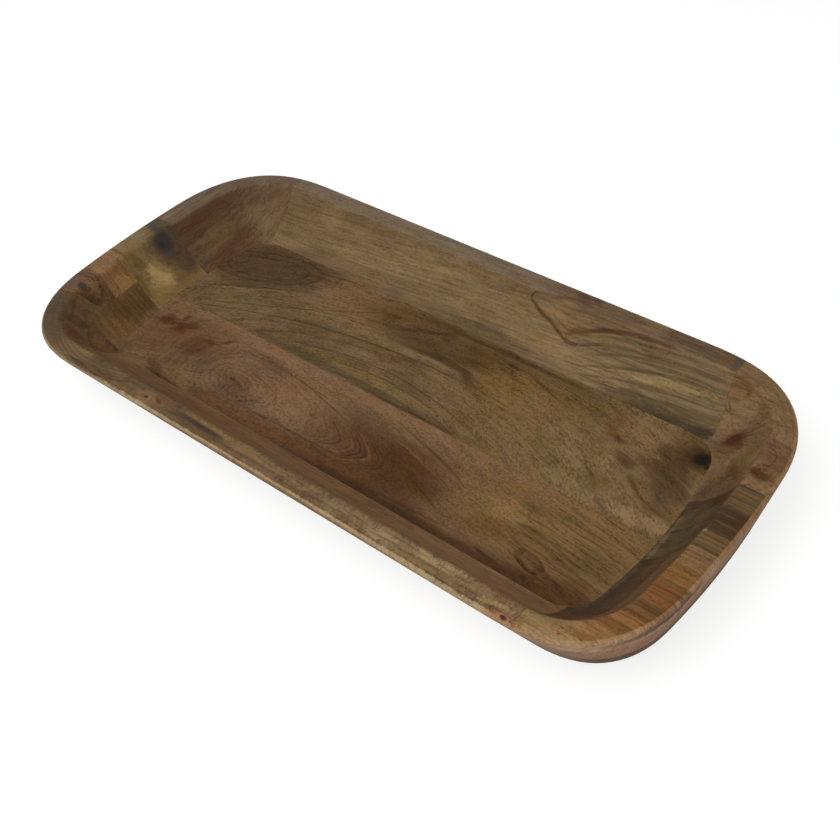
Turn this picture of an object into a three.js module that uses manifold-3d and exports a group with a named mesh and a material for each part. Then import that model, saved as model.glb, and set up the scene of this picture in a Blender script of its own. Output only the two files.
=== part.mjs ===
// A long wooden dough tray, hollowed from a block that was glued up from planks in three layers:
// two floor boards, a lower ring of wall pieces and an upper ring that carries the rim.
// All sizes are in millimetres. Z points up, X runs along the tray, and the origin lies in the
// middle of the underside. Near is -Y, far is +Y, left is -X and right is +X.
import * as THREE from "three";
import { mergeVertices } from "three/addons/utils/BufferGeometryUtils.js";
import Module from "manifold-3d";

const wasm = await Module();
wasm.setup();

// Overall form
const trayLength = 611; // over the bowed ends
const trayWidth = 294;
const endBow = 11.5; // how far each end bows out past its corners
const bowSharpness = 8; // how quickly the bow fades away from the ends, more is quicker
const floorBoardThickness = 21;
const lowerRingThickness = 21;
const upperRingThickness = 21;

// Outer wall: it leans in towards a smaller base
const baseInsetEnds = 15;
const baseInsetSides = 32;
const baseEdgeRound = 10;
const outerCornerFar = 102;
const outerCornerNear = 90;
const baseCornerReduction = 30; // the base's corners are this much tighter than the rim's
const outerSquareness = 2.8; // 2 is a round corner, more is squarer

// Rim
const rimWidthEnds = 21;
const rimWidthSides = 17.5;
const rimOuterRound = 4;
const rimInnerRound = 1.5;

// Hollow: the wall slopes from the rim to the floor, a little concave
const wallRunEnds = 37;
const wallRunSides = 38;
const floorCut = 1; // the hollow just breaks into the floor boards
// Two points that steer the wall's curve, as shares of its run and of its depth
const wallUpperSteer = { run: 0.3, depth: 0.45 };
const wallLowerSteer = { run: 0.66, depth: 0.86 };
const hollowCornerFar = 56;
const hollowCornerNear = 52;
const hollowSquareness = 2.5;
const floorCorner = 22;
const floorSquareness = 2.2;

// Glued joints. Those across the tray are measured from its two ends, those along it from its middle.
const glueLine = 0.2;
const upperBlockLength = 77.5; // the end blocks of the upper ring, at both ends
const lowerBlockLength = 75;
const floorSeamY = -9.2;
const farLeftJointY = 26.5; // below the far left corner block, in both rings
const lowerPaleBlockWidth = 59;
const lowerStripedBlockWidth = 59;
const upperPaleBlockWidth = 58;
const upperOrangeBlockWidth = 27;
const slantJointY = -90.5; // where the slanted joint meets the rim's inner edge
const slantJointAngle = 43; // degrees from the long direction, seen from above
const farRightJointY = 34; // in both rings
const rightMiddleBlockWidth = 62; // in both rings

// How finely curves are drawn
const cornerSteps = 16;
const endSteps = 10;
const roundSteps = 4;
const lipSteps = 2;
const outerWallSteps = 3;
const hollowWallSteps = 12;
const weldDistance = 1e-4;

const halfLength = trayLength / 2;
const halfWidth = trayWidth / 2;
const lowerRingTop = floorBoardThickness + lowerRingThickness;
const trayHeight = lowerRingTop + upperRingThickness;
const floorHeight = floorBoardThickness - floorCut;
const outerWallTop = trayHeight - rimOuterRound;
const clear = trayLength; // far enough to run out past the tray from any joint

// One closed loop of points round the tray at height z. It is a rectangle drawn in by its insets, with
// squarish rounded corners, whose two ends bow out.
function contour({ endInset, sideInset, cornerFar, cornerNear, squareness, z }) {
  const a = halfLength - endBow - endInset;
  const b = halfWidth - sideInset;
  const bowed = (x, y) => {
    const fade = (Math.abs(x) / a) ** bowSharpness;
    return new THREE.Vector3(x + Math.sign(x) * endBow * (1 - (y / b) ** 2) * fade, y, z);
  };
  const corner = (signX, signY) => {
    const size = signY > 0 ? cornerFar : cornerNear;
    const points = [];
    for (let i = 0; i <= cornerSteps; i++) {
      const angle = ((i / cornerSteps) * Math.PI) / 2;
      const reach =
        size / (Math.cos(angle) ** squareness + Math.sin(angle) ** squareness) ** (1 / squareness);
      const x = a - size + reach * Math.cos(angle);
      const y = b - size + reach * Math.sin(angle);
      points.push(bowed(signX * x, signY * y));
    }
    return signX * signY > 0 ? points : points.reverse();
  };
  const end = (signX) => {
    const from = signX > 0 ? -(b - cornerNear) : b - cornerFar;
    const to = signX > 0 ? b - cornerFar : -(b - cornerNear);
    const points = [];
    for (let i = 1; i < endSteps; i++) {
      // half of the steps lie on each side of the middle, where the end reaches out furthest
      const half = endSteps / 2;
      const y = i <= half ? from * (1 - i / half) : to * (i / half - 1);
      points.push(bowed(signX * a, y));
    }
    return points;
  };
  return [...end(1), ...corner(1, 1), ...corner(-1, 1), ...end(-1), ...corner(-1, -1), ...corner(1, -1)];
}

// The outside of the tray at height z, drawn in further by a rounded edge.
function outside(z, edgeInset = 0) {
  const drop = Math.max(0, 1 - z / outerWallTop);
  const tighter = baseCornerReduction * drop + edgeInset;
  return contour({
    endInset: baseInsetEnds * drop + edgeInset,
    sideInset: baseInsetSides * drop + edgeInset,
    cornerFar: outerCornerFar - tighter,
    cornerNear: outerCornerNear - tighter,
    squareness: outerSquareness,
    z,
  });
}

// The hollow's outline: share is 0 at the rim's inner edge and 1 where the wall meets the floor.
function inside(share, z, lip = 0) {
  const between = (rim, floor) => rim + (floor - rim) * share;
  return contour({
    endInset: rimWidthEnds + wallRunEnds * share - lip,
    sideInset: rimWidthSides + wallRunSides * share - lip,
    cornerFar: between(hollowCornerFar, floorCorner) + lip,
    cornerNear: between(hollowCornerNear, floorCorner) + lip,
    squareness: between(hollowSquareness, floorSquareness),
    z,
  });
}

// The whole carved form as one stack of contours, from the underside up the outside, over the rim and
// down the wall of the hollow to its floor.
function carvedForm() {
  const loops = [];
  const quarter = Math.PI / 2;
  for (let i = 0; i <= roundSteps; i++) {
    const angle = (i / roundSteps) * quarter;
    loops.push(outside(baseEdgeRound * (1 - Math.cos(angle)), baseEdgeRound * (1 - Math.sin(angle))));
  }
  for (let i = 1; i <= outerWallSteps; i++)
    loops.push(outside(baseEdgeRound + ((outerWallTop - baseEdgeRound) * i) / outerWallSteps));
  for (let i = 1; i <= roundSteps; i++) {
    const angle = (i / roundSteps) * quarter;
    loops.push(
      outside(outerWallTop + rimOuterRound * Math.sin(angle), rimOuterRound * (1 - Math.cos(angle))),
    );
  }
  for (let i = 0; i < lipSteps; i++) {
    const angle = (i / lipSteps) * quarter;
    const fall = rimInnerRound * (1 - Math.cos(angle));
    loops.push(inside(0, trayHeight - fall, rimInnerRound * (1 - Math.sin(angle))));
  }
  const depth = trayHeight - floorHeight;
  const wall = new THREE.CubicBezierCurve(
    new THREE.Vector2(0, trayHeight),
    new THREE.Vector2(wallUpperSteer.run, trayHeight - wallUpperSteer.depth * depth),
    new THREE.Vector2(wallLowerSteer.run, trayHeight - wallLowerSteer.depth * depth),
    new THREE.Vector2(1, floorHeight),
  );
  for (let i = 1; i <= hollowWallSteps; i++) {
    const { x: share, y: z } = wall.getPoint(i / hollowWallSteps);
    loops.push(inside(share, z));
  }
  return loftedSolid(loops);
}

// Joins loops of equal counts with strips of triangles and closes the first and the last with a fan.
function loftedSolid(loops) {
  const count = loops[0].length;
  const points = loops.flat();
  const faces = [];
  for (let level = 0; level < loops.length - 1; level++)
    for (let i = 0; i < count; i++) {
      const next = (i + 1) % count;
      const a = level * count + i;
      const b = level * count + next;
      faces.push(a, b, b + count, a, b + count, a + count);
    }
  const underside = points.push(new THREE.Vector3(0, 0, loops[0][0].z)) - 1;
  const floor = points.push(new THREE.Vector3(0, 0, loops.at(-1)[0].z)) - 1;
  const last = (loops.length - 1) * count;
  for (let i = 0; i < count; i++) {
    const next = (i + 1) % count;
    faces.push(underside, next, i, floor, last + i, last + next);
  }
  const geometry = new THREE.BufferGeometry().setFromPoints(points);
  geometry.setIndex(faces);
  return solid(geometry);
}

// A closed geometry as a solid that can be cut.
function solid(geometry) {
  geometry.deleteAttribute("normal");
  geometry.deleteAttribute("uv");
  const merged = mergeVertices(geometry, weldDistance);
  return new wasm.Manifold(
    new wasm.Mesh({
      numProp: 3,
      vertProperties: merged.attributes.position.array,
      triVerts: new Uint32Array(merged.index.array),
    }),
  );
}

// The plank that a piece is carved from: a box between joint planes, less half a glue line on each
// glued face. A side without a joint runs out past the tray.
function plank({ left = -clear, right = clear, near = -clear, far = clear, bottom, top }) {
  const half = glueLine / 2;
  const z0 = bottom > 0 ? bottom + half : bottom;
  const z1 = top < trayHeight ? top - half : top;
  const box = new THREE.BoxGeometry(right - left - glueLine, far - near - glueLine, z1 - z0);
  box.translate((left + right) / 2, (near + far) / 2, (z0 + z1) / 2);
  return solid(box);
}

// Everything on one side of the slanted joint in the upper ring, the far side for side = 1.
function pastSlantJoint(side) {
  const box = new THREE.BoxGeometry(2 * clear, clear, 2 * clear);
  box.translate(0, (side * (clear + glueLine)) / 2, 0);
  box.rotateZ(THREE.MathUtils.degToRad(slantJointAngle));
  box.translate(-(halfLength - rimWidthEnds), slantJointY, 0);
  return solid(box);
}

function piece(name, carved, colour) {
  const { numProp, vertProperties, triVerts } = carved.getMesh();
  const geometry = new THREE.BufferGeometry();
  geometry.setAttribute("position", new THREE.BufferAttribute(new Float32Array(vertProperties), numProp));
  geometry.setIndex(new THREE.BufferAttribute(new Uint32Array(triVerts), 1));
  geometry.computeVertexNormals();
  const material = new THREE.MeshStandardMaterial({ color: colour, roughness: 0.72, metalness: 0 });
  const mesh = new THREE.Mesh(geometry, material);
  mesh.name = name;
  return mesh;
}

const tray = new THREE.Group();
const form = carvedForm();
const carve = (blank) => form.intersect(blank);

// Floor boards, edge glued along the tray
const floorLayer = { bottom: 0, top: floorBoardThickness };
tray.add(
  piece("floor_board_near", carve(plank({ far: floorSeamY, ...floorLayer })), 0x6b4a33),
  piece("floor_board_far", carve(plank({ near: floorSeamY, ...floorLayer })), 0x695337),
);

// Lower ring: two rails that butt between the end blocks
const lowerLayer = { bottom: floorBoardThickness, top: lowerRingTop };
const lowerRailEnd = halfLength - lowerBlockLength;
const lowerPaleY = farLeftJointY - lowerPaleBlockWidth;
const lowerStripedY = lowerPaleY - lowerStripedBlockWidth;
const nearRightJointY = farRightJointY - rightMiddleBlockWidth;
const lowerPieces = {
  lower_rail_near: [{ left: -lowerRailEnd, right: lowerRailEnd, far: 0 }, 0x5d4029],
  lower_rail_far: [{ left: -lowerRailEnd, right: lowerRailEnd, near: 0 }, 0x7c6544],
  lower_block_far_left: [{ right: -lowerRailEnd, near: farLeftJointY }, 0x5a3f2a],
  lower_block_left_pale: [{ right: -lowerRailEnd, near: lowerPaleY, far: farLeftJointY }, 0x7d6436],
  lower_block_left_striped: [{ right: -lowerRailEnd, near: lowerStripedY, far: lowerPaleY }, 0x57402a],
  lower_block_near_left: [{ right: -lowerRailEnd, far: lowerStripedY }, 0x54402c],
  lower_block_far_right: [{ left: lowerRailEnd, near: farRightJointY }, 0x77593a],
  lower_block_right_middle: [
    { left: lowerRailEnd, near: nearRightJointY, far: farRightJointY },
    0x4e4130,
  ],
  lower_block_near_right: [{ left: lowerRailEnd, far: nearRightJointY }, 0x59442f],
};
for (const [name, [sides, colour]] of Object.entries(lowerPieces))
  tray.add(piece(name, carve(plank({ ...sides, ...lowerLayer })), colour));

// Upper ring: its near rail runs on round the left corner, up to the slanted joint
const upperLayer = { bottom: lowerRingTop, top: trayHeight };
const upperRailEnd = halfLength - upperBlockLength;
const upperPaleY = farLeftJointY - upperPaleBlockWidth;
const upperOrangeY = upperPaleY - upperOrangeBlockWidth;
const upperPieces = {
  upper_rail_far: [{ left: -upperRailEnd, right: upperRailEnd, near: 0 }, 0x7c6544],
  upper_block_far_left: [{ right: -upperRailEnd, near: farLeftJointY }, 0x553a26],
  upper_block_left_pale: [{ right: -upperRailEnd, near: upperPaleY, far: farLeftJointY }, 0x867043],
  upper_block_left_orange: [{ right: -upperRailEnd, near: upperOrangeY, far: upperPaleY }, 0x7d5833],
  upper_block_far_right: [{ left: upperRailEnd, near: farRightJointY }, 0x7a5b3a],
  upper_block_right_middle: [
    { left: upperRailEnd, near: nearRightJointY, far: farRightJointY },
    0x54442f,
  ],
  upper_block_near_right: [{ left: upperRailEnd, far: nearRightJointY }, 0x85603a],
};
for (const [name, [sides, colour]] of Object.entries(upperPieces))
  tray.add(piece(name, carve(plank({ ...sides, ...upperLayer })), colour));

const nearLeftCorner = { far: upperOrangeY, ...upperLayer };
const figuredBlank = plank({ right: -upperRailEnd, ...nearLeftCorner }).intersect(pastSlantJoint(1));
const nearRailBlank = plank({ right: upperRailEnd, ...nearLeftCorner }).intersect(pastSlantJoint(-1));
tray.add(
  piece("upper_block_left_figured", carve(figuredBlank), 0x5f4630),
  piece("upper_rail_near", carve(nearRailBlank), 0x77603f),
);

export default tray;
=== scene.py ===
import math

import bmesh
import bpy
from mathutils import Matrix, Vector


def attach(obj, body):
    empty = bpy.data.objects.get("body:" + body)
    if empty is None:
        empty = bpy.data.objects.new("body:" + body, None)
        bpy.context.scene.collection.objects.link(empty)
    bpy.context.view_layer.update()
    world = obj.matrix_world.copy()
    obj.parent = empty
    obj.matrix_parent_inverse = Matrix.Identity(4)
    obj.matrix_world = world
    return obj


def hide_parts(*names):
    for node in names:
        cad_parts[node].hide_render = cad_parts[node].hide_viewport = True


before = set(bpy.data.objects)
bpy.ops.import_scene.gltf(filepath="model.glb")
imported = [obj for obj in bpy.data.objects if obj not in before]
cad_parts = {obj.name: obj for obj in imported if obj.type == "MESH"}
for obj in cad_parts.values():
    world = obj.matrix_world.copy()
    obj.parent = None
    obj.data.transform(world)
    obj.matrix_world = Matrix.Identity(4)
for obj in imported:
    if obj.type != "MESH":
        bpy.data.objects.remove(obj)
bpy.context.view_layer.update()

# Camera: it stands in front of the tray's near right corner and looks down across it at about
# 45 degrees, rolled a little, as fitted to the tray's outline and joints in the photo.
camera_round = math.radians(45.666)
camera_height = math.radians(44.473)
camera_roll = math.radians(-8.310)
camera_distance = 0.965925
camera_aside, camera_above = 0.019309, -0.005298
back = Vector(
    (
        math.sin(camera_round) * math.cos(camera_height),
        -math.cos(camera_round) * math.cos(camera_height),
        math.sin(camera_height),
    )
)
level = Vector((math.cos(camera_round), math.sin(camera_round), 0))
upright = back.cross(level)
aside = level * math.cos(camera_roll) + upright * math.sin(camera_roll)
above = upright * math.cos(camera_roll) - level * math.sin(camera_roll)
camera = bpy.data.objects.new("camera", bpy.data.cameras.new("camera"))
camera.data.sensor_width = 36
camera.data.lens = 51.19
camera.matrix_world = Matrix((aside, above, back)).transposed().to_4x4()
camera.location = back * camera_distance + aside * camera_aside + above * camera_above
bpy.context.scene.collection.objects.link(camera)
bpy.context.scene.camera = camera

# Studio: a wide white table under white light from all round, with one broad soft lamp overhead
# that leaves a faint shadow under the tray.
bpy.context.scene.view_settings.view_transform = "Standard"


def put(tree, kind, values=None, **settings):
    """Adds a node, with plain values or links for its inputs."""
    made = tree.nodes.new(kind)
    for key, value in settings.items():
        setattr(made, key, value)
    for key, value in (values or {}).items():
        if isinstance(value, bpy.types.NodeSocket):
            tree.links.new(value, made.inputs[key])
        else:
            made.inputs[key].default_value = value
    return made


# the camera and mirrors see the room as plain white, and its light on matt things is dimmer
room_light, white = 0.55, 1.0
world = bpy.data.worlds.new("studio")
bpy.context.scene.world = world
world.use_nodes = True
sky = world.node_tree
sky.nodes.clear()
path = put(sky, "ShaderNodeLightPath")
seen = path.outputs["Is Camera Ray"]
for ray in ("Is Glossy Ray", "Is Transmission Ray"):
    seen = put(sky, "ShaderNodeMath", {0: seen, 1: path.outputs[ray]}, operation="MAXIMUM").outputs[0]
strength = {"Value": seen, "To Min": room_light, "To Max": white}
strength = put(sky, "ShaderNodeMapRange", strength)
light = put(sky, "ShaderNodeBackground", {"Color": (1, 1, 1, 1), "Strength": strength.outputs[0]})
put(sky, "ShaderNodeOutputWorld", {"Surface": light.outputs[0]})

lamp = bpy.data.objects.new("overhead lamp", bpy.data.lights.new("overhead lamp", "AREA"))
lamp.data.shape = "DISK"
lamp.data.size = 1.2
lamp.data.energy = 16
lamp.location = (0.0, -0.75, 1.35)
lamp.rotation_euler = (-lamp.location).to_track_quat("-Z", "Y").to_euler()
bpy.context.scene.collection.objects.link(lamp)

table_size, table_drop = 8, 0.0002
paper_tone, paper_glow, glow_share, contact = (0.86, 0.86, 0.86, 1), 1.13, 0.7, 0.001
table_mesh = bmesh.new()
bmesh.ops.create_grid(table_mesh, x_segments=1, y_segments=1, size=table_size)
table_data = bpy.data.meshes.new("table")
table_mesh.to_mesh(table_data)
table = bpy.data.objects.new("table", table_data)
table.location.z = -table_drop
bpy.context.scene.collection.objects.link(table)
paper = bpy.data.materials.new("white paper")
paper.use_nodes = True
tree = paper.node_tree
tree.nodes.clear()
path = put(tree, "ShaderNodeLightPath")
plain = put(tree, "ShaderNodeBsdfDiffuse", {"Color": paper_tone})
glow = put(tree, "ShaderNodeEmission", {"Strength": paper_glow})
share = {0: path.outputs["Is Camera Ray"], 1: glow_share}
share = put(tree, "ShaderNodeMath", share, operation="MULTIPLY")
blend = put(tree, "ShaderNodeMixShader", {0: share.outputs[0], 1: plain.outputs[0], 2: glow.outputs[0]})
# the paper is clear from below, and to what lies on it, so that the underside can be looked at too
behind = put(tree, "ShaderNodeNewGeometry").outputs["Backfacing"]
touching = put(tree, "ShaderNodeMath", {0: path.outputs["Ray Length"], 1: contact}, operation="LESS_THAN")
share = put(tree, "ShaderNodeMath", {0: behind, 1: touching.outputs[0]}, operation="MAXIMUM")
clear = put(tree, "ShaderNodeBsdfTransparent")
blend = put(tree, "ShaderNodeMixShader", {0: share.outputs[0], 1: blend.outputs[0], 2: clear.outputs[0]})
put(tree, "ShaderNodeOutputMaterial", {"Surface": blend.outputs[0]})
table_data.materials.append(paper)

# Floor boards: two planks, edge glued along the tray, that carry both rings of wall pieces. The
# whole block was glued up first and then carved inside and out, so every piece below is sawn from
# one carved form.
half_length, half_width, height = 0.3055, 0.147, 0.063
end_bow, bow_sharpness = 0.0115, 8
lower_joint, upper_joint = 0.021, 0.042
floor_height, shoulder_height = 0.020, 0.059
skin = 0.0001
far_corner, near_corner, corner_tightens, outer_squareness = 0.102, 0.090, 0.030, 2.8
base_in_ends, base_in_sides = 0.015, 0.032
rim_ends, rim_sides = 0.021, 0.0175
slope_ends, slope_sides = 0.037, 0.038
mouth_far_corner, mouth_near_corner, mouth_squareness = 0.056, 0.052, 2.5
wall_leans, wall_bends = (0.30, 0.66), (0.45, 0.86)
# size and steps of the rounding along each edge
base_edge, outer_arris, mouth_arris, foot_edge = (0.010, 6), (0.0039, 6), (0.0024, 5), (0.003, 4)
wall_heights = (0, 0.012, 0.024, 0.036, 0.048, shoulder_height, height)
run_steps, wall_steps = 24, 14
glue_line = 0.00008


def outline(step, ends, sides, corner_far, corner_near, squareness):
    """A point of the tray's outline, drawn in from its ends and sides, with squarish round corners."""
    length, width = half_length - end_bow - ends, half_width - sides

    def on_corner(quarter, turn):
        size = corner_far if quarter % 4 < 2 else corner_near
        x = (length - size) * (1 if quarter % 4 in (0, 3) else -1)
        y = (width - size) * (1 if quarter % 4 < 2 else -1)
        along, across = math.cos(turn), math.sin(turn)
        reach = size / (abs(along) ** squareness + abs(across) ** squareness) ** (1 / squareness)
        return Vector((x + reach * along, y + reach * across))

    quarter, place = divmod(step, 2 * run_steps)
    turn = quarter * math.pi / 2
    if place < run_steps:
        point = on_corner(quarter - 1, turn).lerp(on_corner(quarter, turn), place / run_steps)
    else:
        point = on_corner(quarter, turn + (place - run_steps) / run_steps * math.pi / 2)
    bow = end_bow * (1 - (point.y / width) ** 2) * (abs(point.x) / length) ** bow_sharpness
    point.x += math.copysign(bow, point.x)
    return point


def outside(z):
    """Height and outline of the leaning outer wall."""
    drop = max(0, 1 - z / shoulder_height)
    tighter = corner_tightens * drop
    ends, sides = skin + base_in_ends * drop, skin + base_in_sides * drop
    return z, (ends, sides, far_corner - tighter, near_corner - tighter, outer_squareness)


def inside(share, z):
    """Height and outline of the hollow, from its mouth (0) to the edge of its floor (1)."""
    return z, (
        rim_ends + slope_ends * share,
        rim_sides + slope_sides * share,
        mouth_far_corner - 0.034 * share,
        mouth_near_corner - 0.030 * share,
        mouth_squareness - 0.3 * share,
    )


def wall_curve(t):
    """The wall of the hollow: how far in it lies, from rim to floor, and its height there."""
    first, second = 3 * (1 - t) ** 2 * t, 3 * (1 - t) * t * t
    lean = first * wall_leans[0] + second * wall_leans[1] + t**3
    depth = first * wall_bends[0] + second * wall_bends[1] + t**3
    return lean, height - depth * (height - floor_height)


def carve():
    """The carved block, drawn as one loop that is extruded up the outside, over the rim and down."""
    form = bmesh.new()
    steps = 8 * run_steps
    place = form.verts.layers.int.new("place")
    first = bmesh.ops.create_circle(form, cap_ends=False, radius=1, segments=steps)["verts"]
    for number, corner in enumerate(first):
        corner[place] = number
    loops = [outside(z) for z in wall_heights]
    loops += [inside(0, height)]
    loops += [inside(*wall_curve(step / wall_steps)) for step in range(1, wall_steps + 1)]
    base, rim, mouth, foot = 0, 6, 7, len(loops) - 1
    rounded = {base: base_edge, rim: outer_arris, mouth: mouth_arris, foot: foot_edge}
    edges, loop, rims = list(form.edges), first, {}
    for number, (z, size) in enumerate(loops):
        if number:
            made = bmesh.ops.extrude_edge_only(form, edges=edges)["geom"]
            loop = [g for g in made if isinstance(g, bmesh.types.BMVert)]
            edges = [g for g in made if isinstance(g, bmesh.types.BMEdge)]
        for corner in loop:
            x, y = outline(corner[place], *size)
            corner.co = (x, y, z)
        if number in rounded:
            rims[number] = edges
        if number in (base, foot):
            bmesh.ops.edgeloop_fill(form, edges=edges)
    bmesh.ops.recalc_face_normals(form, faces=form.faces)
    for number, (size, segments) in rounded.items():
        bmesh.ops.bevel(
            form,
            geom=rims[number],
            offset=size,
            offset_type="OFFSET",
            segments=segments,
            profile=0.5,
            affect="EDGES",
            material=-1,
        )
    # the floor and the underside are flat faces of many corners, and the others are drawn smooth
    for face in form.faces:
        face.smooth = len(face.verts) < 8
    for edge in form.edges:
        edge.smooth = all(face.smooth for face in edge.link_faces)
    form.normal_update()
    facing = form.verts.layers.float.new("facing")
    for corner in form.verts:
        corner[facing] = corner.normal.xy.dot(corner.co.xy.normalized())
    return form


carved = carve()


def saw(name, cuts, material):
    """One piece of the tray: the carved form cut along its glued joints."""
    piece = carved.copy()
    for point, normal in cuts:
        normal = Vector(normal).normalized()
        made = bmesh.ops.bisect_plane(
            piece,
            geom=piece.verts[:] + piece.edges[:] + piece.faces[:],
            dist=1e-7,
            plane_co=Vector(point) - normal * glue_line,
            plane_no=normal,
            clear_outer=True,
        )["geom_cut"]
        cut_edges = [g for g in made if isinstance(g, bmesh.types.BMEdge)]
        for face in bmesh.ops.edgeloop_fill(piece, edges=cut_edges)["faces"]:
            face.smooth = False
            for edge in face.edges:
                edge.smooth = False
    bmesh.ops.recalc_face_normals(piece, faces=piece.faces)
    data = bpy.data.meshes.new(name)
    piece.to_mesh(data)
    piece.free()
    data.materials.append(material)
    made = bpy.data.objects.new(name, data)
    bpy.context.scene.collection.objects.link(made)
    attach(made, "root")
    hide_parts(name.removesuffix("_wood"))
    return made


def left_of(x):
    return (x, 0, 0), (1, 0, 0)


def right_of(x):
    return (x, 0, 0), (-1, 0, 0)


def nearer_than(y):
    return (0, y, 0), (0, 1, 0)


def beyond(y):
    return (0, y, 0), (0, -1, 0)


def below(z):
    return (0, 0, z), (0, 0, 1)


def over(z):
    return (0, 0, z), (0, 0, -1)


def shared(name, takes, gives):
    """A group of shader nodes with named inputs and outputs, used in many materials."""
    made = bpy.data.node_groups.new(name, "ShaderNodeTree")
    for label, kind in takes.items():
        made.interface.new_socket(label, in_out="INPUT", socket_type="NodeSocket" + kind)
    for label, kind in gives.items():
        made.interface.new_socket(label, in_out="OUTPUT", socket_type="NodeSocket" + kind)
    return made, put(made, "NodeGroupInput").outputs


def calc(tree, operation, *values):
    return put(tree, "ShaderNodeMath", dict(enumerate(values)), operation=operation).outputs[0]


def move(tree, operation, *values):
    made = put(tree, "ShaderNodeVectorMath", dict(enumerate(values)), operation=operation)
    return made.outputs["Value" if operation == "LENGTH" else "Vector"]


def smooth(tree, value, low, high, start=0.0, end=1.0):
    """Runs softly from start to end while the value goes from low to high."""
    span = {"Value": value, "From Min": low, "From Max": high, "To Min": start, "To Max": end}
    return put(tree, "ShaderNodeMapRange", span, interpolation_type="SMOOTHSTEP").outputs[0]


def noise(tree, place, detail, roughness=0.5):
    values = {"Vector": place, "Scale": 1.0, "Detail": detail, "Roughness": roughness}
    return put(tree, "ShaderNodeTexNoise", values).outputs


def turn_back(tree, place, turn):
    """Turns a place back by an angle in the plane of the tray."""
    values = {"Vector": place, "Angle": calc(tree, "MULTIPLY", turn, -1.0)}
    return put(tree, "ShaderNodeVectorRotate", values, rotation_type="Z_AXIS").outputs[0]


# Distance from the pith of the trunk, measured across the grain in millimetres: its contours are
# the growth rings, drawn out ahead and behind along the grain. The grain follows them in part.
growth, given = shared(
    "growth",
    {"Place": "Vector", "Centre": "Vector", "Turn": "Float", "Stretch": "Vector", "Follow": "Float"},
    {"Distance": "Float", "Flow": "Vector"},
)
away = move(growth, "SUBTRACT", given["Place"], given["Centre"])
away = turn_back(growth, away, given["Turn"])
x, y, z = put(growth, "ShaderNodeSeparateXYZ", {0: away}).outputs
ahead, behind, deep = put(growth, "ShaderNodeSeparateXYZ", {0: given["Stretch"]}).outputs
front = calc(growth, "DIVIDE", calc(growth, "MAXIMUM", x, 0.0), ahead)
rear = calc(growth, "DIVIDE", calc(growth, "MINIMUM", x, 0.0), behind)
drawn = {0: calc(growth, "ADD", front, rear), 1: y, 2: calc(growth, "DIVIDE", z, deep)}
drawn = move(growth, "LENGTH", put(growth, "ShaderNodeCombineXYZ", drawn).outputs[0])
bend = calc(growth, "MULTIPLY", calc(growth, "SUBTRACT", drawn, y), given["Follow"])
flow = put(growth, "ShaderNodeCombineXYZ", {0: x, 1: calc(growth, "ADD", y, bend), 2: z}).outputs[0]
put(growth, "NodeGroupOutput", {"Distance": drawn, "Flow": flow})

# Growth rings: soft bands of tone and thin dark lines, at uneven spaces.
takes = {"Distance": "Float", "Spacing": "Float"}
rings, given = shared("rings", takes, {"Tone": "Float", "Line": "Float"})
count = calc(rings, "DIVIDE", given["Distance"], given["Spacing"])
values = {"W": calc(rings, "MULTIPLY", count, 0.6), "Scale": 1.0, "Detail": 3.0, "Roughness": 0.6}
tone = put(rings, "ShaderNodeTexNoise", values, noise_dimensions="1D").outputs[0]
values = {"W": count, "Scale": 1.0}
cell = put(rings, "ShaderNodeTexVoronoi", values, voronoi_dimensions="1D").outputs["Color"]
kind = {"voronoi_dimensions": "1D", "feature": "DISTANCE_TO_EDGE"}
edge = put(rings, "ShaderNodeTexVoronoi", values, **kind).outputs["Distance"]
weight = calc(rings, "POWER", put(rings, "ShaderNodeSeparateColor", {0: cell}).outputs[0], 1.6)
line = calc(rings, "MULTIPLY", smooth(rings, edge, 0.0, 0.16, 1.0, 0.0), weight)
put(rings, "NodeGroupOutput", {"Tone": tone, "Line": line})

# Fibre: fine mottle, streaks and open pores along the grain, broader ripples, and slow changes of
# warmth and tone.
fibre, given = shared(
    "fibre",
    {"Flow": "Vector", "Size": "Vector"},
    {
        "Streak": "Float",
        "Thin": "Float",
        "Grit": "Float",
        "Pore": "Float",
        "Ripple": "Float",
        "Warmth": "Float",
        "Patch": "Float",
        "Cloud": "Float",
    },
)
fine = move(fibre, "DIVIDE", given["Flow"], given["Size"])
streak = noise(fibre, fine, 4.0, 0.7)[0]
thin = noise(fibre, move(fibre, "MULTIPLY", fine, (0.8, 0.62, 1.0)), 4.0, 0.85)[0]
grit = noise(fibre, move(fibre, "MULTIPLY", fine, (16.0, 1.1, 3.0)), 5.0, 0.78)[0]
pore = noise(fibre, move(fibre, "MULTIPLY", fine, (9.0, 2.0, 6.0)), 1.0)[0]
ripple = noise(fibre, move(fibre, "MULTIPLY", fine, (2.2, 0.3, 0.6)), 3.0, 0.6)["Color"]
ripple, warmth, _ = put(fibre, "ShaderNodeSeparateColor", {0: ripple}).outputs
patch = noise(fibre, move(fibre, "MULTIPLY", fine, (3.2, 0.17, 0.7)), 4.0, 0.6)[0]
broad = noise(fibre, move(fibre, "MULTIPLY", fine, (0.7, 0.07, 0.2)), 2.0)[0]
given = {
    "Streak": streak,
    "Thin": thin,
    "Grit": grit,
    "Pore": smooth(fibre, pore, 0.60, 0.72),
    "Ripple": ripple,
    "Warmth": warmth,
    "Patch": patch,
    "Cloud": smooth(fibre, broad, 0.36, 0.64),
}
put(fibre, "NodeGroupOutput", given)

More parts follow.
